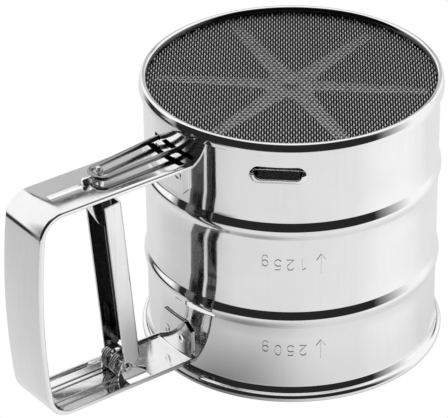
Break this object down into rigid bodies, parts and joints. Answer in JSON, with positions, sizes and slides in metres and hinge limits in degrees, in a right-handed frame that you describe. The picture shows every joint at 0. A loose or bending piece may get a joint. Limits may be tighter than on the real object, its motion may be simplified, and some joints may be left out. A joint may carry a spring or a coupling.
{
  "type": "flour sifter",
  "caption": "Hand-held flour sifter: a beaded steel cup with a fine mesh at its base, a strap handle, and a sprung squeeze trigger that pulls a wire to swing a star-shaped stirrer.",
  "frame": {"origin": "centre of the open mouth, in the plane the mouth's rolled rim stands on", "axes": "+Z from the mouth to the mesh, +X away from the handle, so the handle is on the -X side"},
  "size_m": [0.1631, 0.105, 0.0985],
  "materials": {
    "cup_steel": "polished almost to a mirror, fine scratches",
    "ring_steel": "polished, worn brighter on the edge",
    "mesh_wire": "woven fine wire, satin",
    "strap_steel": "polished strip, long fine scratches",
    "trigger_steel": "polished strip, darker pressed corners",
    "rivet_steel": "dull turned steel",
    "spring_steel": "bright drawn wire",
    "wire_steel": "bright drawn wire",
    "stirrer_steel": "satin rolled sheet"
  },
  "bodies": {
    "cup": {"cup_body": "cup_steel", "sieve_ring": "ring_steel", "sieve_mesh": "mesh_wire", "handle_strap": "strap_steel", "hinge_pin": "rivet_steel", "hinge_clip": "rivet_steel", "return_spring": "spring_steel", "bridge_bar": "stirrer_steel", "centre_pin": "rivet_steel", "spacer_collar": "rivet_steel", "lower_washer": "rivet_steel", "upper_washer": "rivet_steel"},
    "trigger": {"trigger_lever": "trigger_steel"},
    "wire": {"pull_wire": "wire_steel", "wire_clip": "rivet_steel"},
    "stirrer": {"crank_plate": "stirrer_steel", "agitator_hub": "rivet_steel", "agitator_star": "stirrer_steel"}
  },
  "joints": [
    {"name": "trigger_squeeze", "type": "hinge", "parent": "cup", "child": "trigger", "pos_m": [-0.0742, 0, 0.0132], "axis": [0, -1, 0], "range_deg": [0, 8.8], "stiffness_Nm_per_rad": 0.8, "springref_deg": -20.05, "deforming": ["return_spring"]},
    {"name": "wire_slide", "type": "slide", "parent": "cup", "child": "wire", "axis": [-1, 0, 0], "range_m": [0, 0.0119]},
    {"name": "stirrer_turn", "type": "hinge", "parent": "cup", "child": "stirrer", "pos_m": [0, 0, 0.09], "axis": [0, 0, 1], "range_deg": [0, 42]}
  ],
  "couplings": [
    {"joint": "wire_slide", "follows": "trigger_squeeze", "m_per_rad": 0.075572},
    {"joint": "stirrer_turn", "follows": "trigger_squeeze", "ratio": 4.6652}
  ]
}
